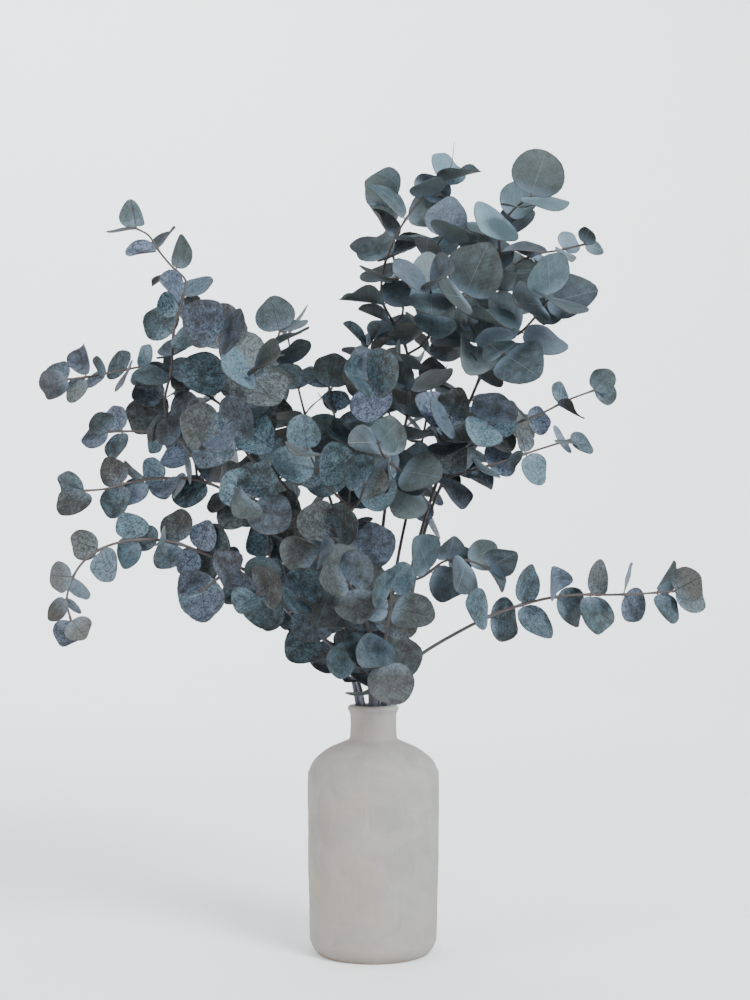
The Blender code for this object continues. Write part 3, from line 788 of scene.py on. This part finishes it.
def grow_leaf(rng, room, key, place, tangent, azimuth, length, facing, at_tip):
    """One leaf at a node, moved, rolled or made smaller until it is clear of the rest."""
    lean = math.radians(rng.uniform(*(TIP_LEAN if at_tip else LEAN)))
    turn_share = rng.uniform(*TURN_SHARE) * facing
    fold = rng.uniform(*FOLD)
    droop = rng.uniform(*DROOP)
    for attempt in range(TRIES):
        loose = attempt / TRIES
        size = length * (1 - TRY_SHRINK * max(0.0, loose - SHRINK_FROM))
        rib, side, face = leaf_frame(
            tangent,
            azimuth + rng.uniform(-TRY_TURN, TRY_TURN) * loose,
            lean + rng.uniform(*TRY_LEAN) * loose,
            turn_share * (1 - TRY_FACING * loose),
            rng.uniform(-ROLL, ROLL) + rng.uniform(-TRY_ROLL, TRY_ROLL) * loose,
            place)
        leaf = Leaf(place, rib, side, face, size, fold, droop)
        if room.is_clear(key, leaf):
            room.add_leaf(leaf)
            return leaf
    return None


def grow_shoot_leaves(rng, room, key, shoot, path, nodes):
    leaves = []
    for count, node in enumerate(nodes):
        share = node / path.length
        length = (shoot.sizes[0] + (shoot.sizes[1] - shoot.sizes[0]) * share) * MM
        place, tangent = path.at(node)
        turn = math.radians(shoot.turn + 90 * count + rng.uniform(-PAIR_SPREAD, PAIR_SPREAD))
        at_tip = count == len(nodes) - 1
        for half in (0, math.pi):
            size = length * rng.uniform(*LEAF_SPREAD)
            leaves.append(grow_leaf(rng, room, key, place, tangent, turn + half, size,
                                    shoot.facing, at_tip))
    return [leaf for leaf in leaves if leaf]


# The wood of the branches.
# Round, slightly wavy stems and twigs, a little thicker where leaves grow, each leaf on
# a short stalk. Thick stems keep a blue-grey bloom, and thin twigs are dark brown.
WOOD_SIDES = 8
WOOD_STEP = 3 * MM
KNOT_SWELL = 0.32
KNOT_REACH = 2.6 * MM
STALK_REACH = 4.5 * MM
BARE_TIPS = {"branch_centre_high": [(60, -15, 648), (67, -14, 663), (69, -14, 682)]}
TIP_RADII = [0.6 * MM, 0.4 * MM, 0.3 * MM]
STALK_RADII = [0.75 * MM, 0.6 * MM, 0.3 * MM]
PLAIN_GIRTH = 0.86


def new_geometry_tree(name, sizes):
    """A geometry tree with named inputs, with the output of each by its name."""
    tree = bpy.data.node_groups.new(name, "GeometryNodeTree")
    tree.interface.new_socket("Geometry", in_out="OUTPUT", socket_type="NodeSocketGeometry")
    tree.interface.new_socket("Geometry", in_out="INPUT", socket_type="NodeSocketGeometry")
    for label, kind in sizes.items():
        tree.interface.new_socket(label, in_out="INPUT", socket_type="NodeSocket" + kind)
    graph = Graph(tree)
    source = graph.add("NodeGroupInput")
    return tree, graph, {label: source.beside(label) for label in ["Geometry", *sizes]}


def end_tree(graph, geometry, finish):
    """Closes a geometry tree: instances made real, and the finish on its faces."""
    real = graph.add("GeometryNodeRealizeInstances", None, {"Geometry": geometry})
    dressed = graph.add("GeometryNodeSetMaterial", None,
                        {"Geometry": real, "Material": finish})
    result = graph.tree.nodes.new("NodeGroupOutput")
    graph.feed(result.inputs["Geometry"], dressed)


def grown_by(tree, source, name, values):
    """What a geometry tree makes of a source object, as a plain mesh."""
    modifier = source.modifiers.new(tree.name, "NODES")
    modifier.node_group = tree
    for item in tree.interface.items_tree:
        if item.in_out == "INPUT" and item.name in values:
            modifier[item.identifier] = values[item.name]
    return plain_mesh(source, name)


def stored(graph, geometry, name, value, kind="FLOAT_VECTOR"):
    """The geometry with a value kept under a name at each of its points."""
    return graph.add("GeometryNodeStoreNamedAttribute", {"data_type": kind},
                     {"Geometry": geometry, "Name": name, "Value": value})


def wood_tree():
    """Sweeps a round section along every line of a branch, at each point's own radius."""
    tree, graph, sizes = new_geometry_tree("Stems and twigs", {"Sides": "Int",
                                                               "Bark": "Material"})
    radius = graph.add("GeometryNodeInputRadius")
    marked = stored(graph, sizes["Geometry"], "girth", radius, "FLOAT")
    section = graph.add("GeometryNodeCurvePrimitiveCircle", None,
                        {"Resolution": sizes["Sides"], "Radius": 1.0})
    swept = graph.add("GeometryNodeCurveToMesh", None,
                      {"Curve": marked, "Profile Curve": section, "Scale": radius,
                       "Fill Caps": True})
    end_tree(graph, swept, sizes["Bark"])
    return tree


def reading(graph, name, output="Fac"):
    """What a geometry tree has stored on the mesh under a name."""
    return graph.add("ShaderNodeAttribute", {"attribute_name": name}, None, output)


def bark_finish():
    """Dark brown twigs with fine lengthwise streaks, and a blue-grey bloom on thick stems."""
    finish, shader = new_finish("Stem bark", 0.7)
    graph = Graph(finish.node_tree)
    place = graph.add("ShaderNodeTexCoord", output="Object")
    thick = graph.ramp(reading(graph, "girth"), 1.3 * MM, 2.1 * MM)
    streaks = graph.noise(graph.vector("MULTIPLY", place, (1.0, 1.0, 0.12)), 1400, 3, 0.6)
    patches = graph.noise(place, 70, 3, 0.6)
    twig = graph.blend(streaks, (0.020, 0.016, 0.016), (0.085, 0.066, 0.060))
    bloom = graph.blend(streaks, (0.034, 0.037, 0.052), (0.100, 0.112, 0.160))
    share = (thick * (0.55 + patches)).at_most(1.0)
    graph.dress(shader, graph.blend(share, twig, bloom), 0.5 + patches * 0.4, streaks,
                0.5, 0.3 * MM)
    return finish


def add_line(curve, points, radii):
    spline = curve.splines.new("POLY")
    spline.points.add(len(points) - 1)
    for point, place, radius in zip(spline.points, points, radii):
        point.co = (*place, 1)
        point.radius = radius


def add_twig_line(curve, shoot, path, nodes, full_until):
    """The line of one stem or twig, which tapers to its tip and swells at its leaves."""
    count = max(2, round(path.length / WOOD_STEP))
    points, radii = [], []
    for k in range(count + 1):
        distance = path.length * k / count
        share = max(0.0, distance - full_until) / (path.length - full_until)
        radius = (shoot.radii[0] + (shoot.radii[1] - shoot.radii[0]) * share) * MM
        knot = max([math.exp(-((distance - node) / KNOT_REACH) ** 2) for node in nodes])
        points.append(path.at(distance)[0])
        radii.append(radius * (PLAIN_GIRTH + KNOT_SWELL * knot))
    add_line(curve, points, radii)


def add_stalk(curve, leaf):
    """The short stalk of a leaf, which flattens out under its base."""
    base = leaf.place + leaf.rib * STALK_REACH
    middle = leaf.place.lerp(base, 0.5)
    add_line(curve, [leaf.place, middle, base - leaf.face * 0.1 * MM], STALK_RADII)


# The leaves.
# Round leaves in opposite pairs, dried, stiff and matt, blue-grey with a fine dark net
# of veins. They grow on their stems, and a tree of nodes bends each from one disc.
BLADE_CELLS = 6
BLADE_DEPTH = 0.5 * MM
BLADE_ROOT = 1.2 * MM
EXTRA_SHARE = 0.82
# Leaves nearer the neck than this get a darker tone: painted shade.
NECK_SHADE_REACH = 260 * MM
EXTRA_GAP = 32 * MM
LOW_PAIRS = {"branch_centre": [24, 50, 78, 104], "branch_left_low": [26, 50],
             "branch_left_middle": [36]}
SMOOTH_LEAVED = {"branch_right_high": 0.25, "branch_centre_high": 0.45,
                 "branch_front_low": 0.6}
EXTRA_TURN = 45
CRUMPLE = 0.07
LEAF_SHEEN = 0.25
EDGE_ANGLE = math.radians(50)
LOOK_SEED = 100
LEAF_VECTORS = ["place", "rib", "side", "face"]


def named(graph, name, kind="FLOAT"):
    return graph.add("GeometryNodeInputNamedAttribute", {"data_type": kind}, {"Name": name})


def leaf_tree():
    """Lays a disc of cells at every leaf root, then bends each disc to that leaf's form.

    On the disc, a runs from -1 at the root to 1 at the tip, and b from -1 to 1 across.
    """
    tree, graph, sizes = new_geometry_tree("Leaf blades", {
        "Cells": "Int", "Root": "Float", "Half width": "Float", "Crumple": "Float",
        "Face finish": "Material"})
    corners = sizes["Cells"] + 1
    grid = graph.add("GeometryNodeMeshGrid", None, {"Size X": 2.0, "Size Y": 2.0,
                                                    "Vertices X": corners,
                                                    "Vertices Y": corners})
    x, y, _ = graph.parted(graph.add("GeometryNodeInputPosition"))
    disc = graph.joined(x * (1 - y * y * 0.5).root(), y * (1 - x * x * 0.5).root())
    blank = stored(graph, grid, "disc", disc)
    laid = graph.add("GeometryNodeInstanceOnPoints", None,
                     {"Points": sizes["Geometry"], "Instance": blank})
    real = graph.add("GeometryNodeRealizeInstances", None, {"Geometry": laid})

    a, b, _ = graph.parted(named(graph, "disc", "FLOAT_VECTOR"))
    size, phase, curl = [named(graph, name) for name in ("size", "phase", "curl")]
    half = size * sizes["Half width"]
    from_root = (a + 1) * 0.5
    radius = (a * a + b * b).root()

    # The outline: uneven, with a blunt, slightly notched root and a small point at the tip.
    angle = graph.maths("ARCTAN2", b, a)
    ripple = graph.maths("SINE", angle * 3 + phase * 40) + graph.maths(
        "SINE", angle * 5 + phase * 90) * 0.5
    uneven = 1 + ripple * radius * 0.028
    tip = a.at_least(0.0) ** 12 * (0.02 + phase * 0.04)
    notch = (0 - a).at_least(0.0) ** 18
    along = sizes["Root"] + size * (from_root * 0.97 * uneven + tip + notch * 0.03)
    broad = 1.04 - a * 0.09
    across = b * half * broad * uneven

    # The rise of the blade out of its plane: folded, drooping, cupped, wavy, crumpled.
    crease = (across * across + half * half * 0.02).root() - half * 0.14
    rise = crease * named(graph, "fold") * 0.5
    rise = rise - along * along * named(graph, "droop") / size
    rise = rise + b * b * from_root * size * named(graph, "cup") * 0.13
    rise = rise + ripple * radius * radius * from_root * size * named(graph, "wave") * 0.035
    dents = graph.noise(graph.joined(a, b, phase * 50), 1.6, 2) - 0.5
    rise = rise + dents * from_root * size * sizes["Crumple"]

    # One side rolls in on some leaves, the left one or the right one by the sign of curl.
    over = (b * graph.maths("SIGN", curl) - 0.05).at_least(0.0)
    rise = rise + over * over * abs(curl) * half * 1.1
    across = across * (1 - over * abs(curl) * 0.55)

    spot = named(graph, "place", "FLOAT_VECTOR")
    for direction, reach in (("rib", along), ("side", across), ("face", rise)):
        part = graph.vector("SCALE", named(graph, direction, "FLOAT_VECTOR"), scale=reach)
        spot = graph.vector("ADD", spot, part)
    bent = graph.add("GeometryNodeSetPosition", None, {"Geometry": real, "Position": spot})

    # Each point's own place on its blade, in millimetres, for the finish.
    blade = graph.joined(along * 1000, across * 1000, radius)
    end_tree(graph, stored(graph, bent, "blade", blade), sizes["Face finish"])
    return tree


def leaf_finish(name, darks, lights, net_dark, roughness, net_share):
    """A matt blade: tone and painted shade by leaf, mottled bloom, vein net, midrib and a thin
    dark edge.

    Darks and lights each hold four tints: teal, lilac, brown, and olive where smooth.
    """
    finish, shader = new_finish(name, roughness)
    graph = Graph(finish.node_tree)
    shader.inputs["Specular IOR Level"].default_value = LEAF_SHEEN
    tone, net, phase = [reading(graph, label) for label in ("tone", "net", "phase")]
    along, across, radius = graph.parted(reading(graph, "blade", "Vector"))
    offset = graph.joined(phase * 370, phase * 910)
    spot = graph.vector("ADD", graph.joined(along, across), offset)

    bloom = graph.noise(spot, 0.12, 5, 0.66, 0.3)
    wobble = graph.noise(spot, 0.5, 2)
    drift = graph.add("ShaderNodeTexNoise", None, {"Vector": spot, "Scale": 0.6}, "Color")
    bent = graph.vector("ADD", spot, graph.vector("SCALE", drift, scale=3.2))
    coarse, fine = [graph.add("ShaderNodeTexVoronoi", {"feature": "DISTANCE_TO_EDGE"},
                              {"Vector": bent, "Scale": scale}) for scale in (0.36, 0.95)]
    strength = graph.ramp(graph.noise(spot, 0.3, 3, 0.6), 0.36, 0.64)
    web = graph.ramp(coarse, 0.24, 0.0) * 0.8 + graph.ramp(fine, 0.22, 0.0) * 0.6
    web = web.at_most(1)
    web = web * (0.3 + strength * 0.7) * net
    specks = graph.ramp(graph.noise(spot, 0.9, 3, 0.75), 0.52, 0.66) * net
    sideways = abs(across)
    midrib = graph.ramp(sideways + along * 0.006, 0.55, 0.18)
    slant = (along - sideways * 0.85 + wobble * 1.6) / 4.2
    veins = graph.ramp(abs(graph.maths("FRACT", slant) - 0.5), 0.07, 0.0)
    rim = graph.ramp(radius, 0.955, 0.995)
    root_pale = graph.ramp(along, 14, 1) * (1 - net * 0.3)

    mixed = phase + (bloom - 0.5) * 0.3
    lilac_share = graph.ramp(mixed, 0.60, 0.80)
    brown_share = graph.ramp(mixed, 0.34, 0.20)
    ends = []
    for teal, lilac, brown, olive in (darks, lights):
        end = graph.blend(lilac_share, teal, lilac)
        end = graph.blend(brown_share, end, brown)
        ends.append(graph.blend((1 - net) * 0.7, end, olive))
    dark, light = ends
    # The leaf's tone holds its random tone and the painted shade near the neck.
    share = tone * tone * 0.95 + (bloom - 0.5) * (0.5 + net * 1.3) + 0.15
    share = share.at_least(0.0).at_most(1.0)
    colour = graph.blend(share, dark, light)
    colour = graph.blend(root_pale * 0.55, colour, (0.19, 0.26, 0.34))
    colour = graph.blend((web * net_share + specks * 0.5).at_most(0.9), colour,
                         net_dark)
    colour = graph.blend(veins * 0.10 + midrib * 0.55 * (1 - net), colour,
                         (0.19, 0.23, 0.24))
    colour = graph.blend(midrib * 0.7 * net, colour, net_dark)
    colour = graph.blend(rim * 0.5, colour, (0.030, 0.029, 0.027))
    relief = wobble * 0.5 - web * 0.5 - midrib * 0.8 - veins * 0.35
    graph.dress(shader, colour, roughness + bloom * 0.2, relief, 0.45, 0.25 * MM)
    return finish


def extra_nodes(nodes, lowest):
    """Where smaller leaves fill the longer gaps between pairs, and the lowest ones."""
    return [*lowest, *[(a + b) / 2 for a, b in zip(nodes, nodes[1:]) if b - a > EXTRA_GAP]]


def lay_out_branches():
    """Every shoot's path and leaves. The plain tubes only mark the wood's own room."""
    room = Room()
    grown = []
    for branch in BRANCHES:
        in_vase = run_in_vase(branch)
        trunk, *twigs = branch.shoots
        trunk_path = path_of(trunk, in_vase)
        bare = trunk_path.nearest(in_vase[-1])
        shoots = [(trunk, trunk_path, leaf_nodes(trunk, trunk_path, bare))]
        joints = [trunk_path.nearest(in_vase[1]), bare]
        for twig in twigs:
            joint = joint_of(twig, trunk_path)
            joints.append(joint)
            path = path_of(twig, [trunk_path.at(joint)[0]])
            shoots.append((twig, path, leaf_nodes(twig, path, 0.0)))
        for count, (shoot, path, nodes) in enumerate(shoots):
            stops = stops_along(path, nodes, joints if count == 0 else [])
            full_until, roundness = (bare, 1) if count == 0 else (0.0, 0)
            wood = tube("guide", path, shoot.radii, stops, full_until, roundness)
            room.add_wood((branch.name, count), wood)
            bpy.data.objects.remove(wood)
        grown.append((branch, bare, shoots))
    room.add_wood("vase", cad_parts["vase"])
    leaves = {branch.name: [] for branch in BRANCHES}
    for order, (branch, bare, shoots) in enumerate(grown):
        rng = random.Random(FIRST_SEED + order)
        for count, (shoot, path, nodes) in enumerate(shoots):
            key = (branch.name, count)
            leaves[branch.name] += grow_shoot_leaves(rng, room, key, shoot, path, nodes)
    for order, (branch, bare, shoots) in enumerate(grown):
        rng = random.Random(FIRST_SEED - 1 - order)
        low = [bare + reach * MM for reach in LOW_PAIRS.get(branch.name, [])]
        for count, (shoot, path, nodes) in enumerate(shoots):
            sizes = [size * EXTRA_SHARE for size in shoot.sizes]
            extra = shoot._replace(sizes=sizes, turn=shoot.turn + EXTRA_TURN)
            leaves[branch.name] += grow_shoot_leaves(
                rng, room, (branch.name, count), extra, path,
                extra_nodes(nodes, low if count == 0 else []))
    return grown, leaves


def leaf_roots(name, leaves, net, rng):
    """One point at each leaf's root, with the leaf's form and tone as its attributes.

    Leaves near the neck get a darker tone: painted shade.
    """
    neck = Vector((0, 0, VASE_HEIGHT))
    # A leaf's tone is darkened near the neck as painted shade.
    lit_shares = [min(1.0, (leaf.place - neck).length / NECK_SHADE_REACH) for leaf in leaves]
    mesh = bpy.data.meshes.new(name)
    mesh.from_pydata([leaf.place for leaf in leaves], [], [])
    loose = {"size": [leaf.length for leaf in leaves],
             "fold": [leaf.fold for leaf in leaves],
             "droop": [leaf.droop for leaf in leaves],
             "cup": [rng.uniform(-0.7, 1.0) for _ in leaves],
             "wave": [rng.uniform(0.1, 1.0) ** 1.5 for _ in leaves],
             "curl": [rng.choice([-1, 1]) * max(0.0, rng.uniform(-1.4, 0.9))
                      for _ in leaves],
             "phase": [rng.random() for _ in leaves],
             "tone": [rng.random() * (0.1 + 0.9 * lit_share) for lit_share in lit_shares],
             "net": [min(1.0, net * rng.uniform(0.7, 1.25)) for _ in leaves]}
    for label, values in loose.items():
        mesh.attributes.new(label, "FLOAT", "POINT").data.foreach_set("value", values)
    for label in LEAF_VECTORS:
        flat = [part for leaf in leaves for part in getattr(leaf, label)]
        mesh.attributes.new(label, "FLOAT_VECTOR", "POINT").data.foreach_set("vector", flat)
    return add_object(name, mesh)


def thin_blades(blades, underside):
    """Gives the blades their thickness, with the finish of the underside below."""
    blades.data.materials.append(underside)
    solidify = blades.modifiers.new("Blade", "SOLIDIFY")
    solidify.thickness = BLADE_DEPTH
    solidify.offset = 0
    solidify.material_offset = 1
    solidify.material_offset_rim = 1
    made = plain_mesh(blades, blades.name)
    made.data.shade_smooth()
    made.data.set_sharp_from_angle(angle=EDGE_ANGLE)
    return made


grown_branches, branch_leaves = lay_out_branches()
wood_nodes, blade_nodes = wood_tree(), leaf_tree()
bark = bark_finish()
upper = leaf_finish("Leaf upper face",
                    ((0.014, 0.021, 0.024), (0.017, 0.019, 0.024),
                     (0.021, 0.020, 0.018), (0.017, 0.023, 0.023)),
                    ((0.126, 0.208, 0.262), (0.140, 0.180, 0.268),
                     (0.122, 0.140, 0.148), (0.110, 0.158, 0.168)),
                    (0.006, 0.008, 0.009), 0.5, 0.88)
underside = leaf_finish("Leaf underside",
                        ((0.019, 0.023, 0.023), (0.022, 0.022, 0.025),
                         (0.025, 0.023, 0.021), (0.022, 0.026, 0.025)),
                        ((0.080, 0.114, 0.126), (0.094, 0.102, 0.122),
                         (0.090, 0.094, 0.092), (0.086, 0.108, 0.106)),
                        (0.010, 0.011, 0.011), 0.65, 0.55)

for order, (branch, bare, shoots) in enumerate(grown_branches):
    leaves = branch_leaves[branch.name]
    curve = bpy.data.curves.new(branch.name + "_lines", "CURVE")
    curve.dimensions = "3D"
    for count, (shoot, path, nodes) in enumerate(shoots):
        add_twig_line(curve, shoot, path, nodes, bare if count == 0 else 0.0)
    for leaf in leaves:
        add_stalk(curve, leaf)
    if branch.name in BARE_TIPS:
        tip = BARE_TIPS[branch.name]
        add_line(curve, [Vector(place) * MM for place in tip], TIP_RADII)
    lines = add_object(branch.name + "_lines", curve)
    wood = grown_by(wood_nodes, lines, branch.name + "_wood",
                    {"Sides": WOOD_SIDES, "Bark": bark})
    wood.data.shade_smooth()

    rng = random.Random(LOOK_SEED + order)
    roots = leaf_roots(branch.name + "_roots", leaves,
                       SMOOTH_LEAVED.get(branch.name, 1.0), rng)
    blades = grown_by(blade_nodes, roots, branch.name + "_leaves",
                      {"Cells": BLADE_CELLS, "Root": BLADE_ROOT,
                       "Half width": HALF_WIDTH_SHARE, "Crumple": CRUMPLE,
                       "Face finish": upper})
    blades = thin_blades(blades, underside)
    for piece in (wood, blades):
        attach(piece, "root")
        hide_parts(branch.name)
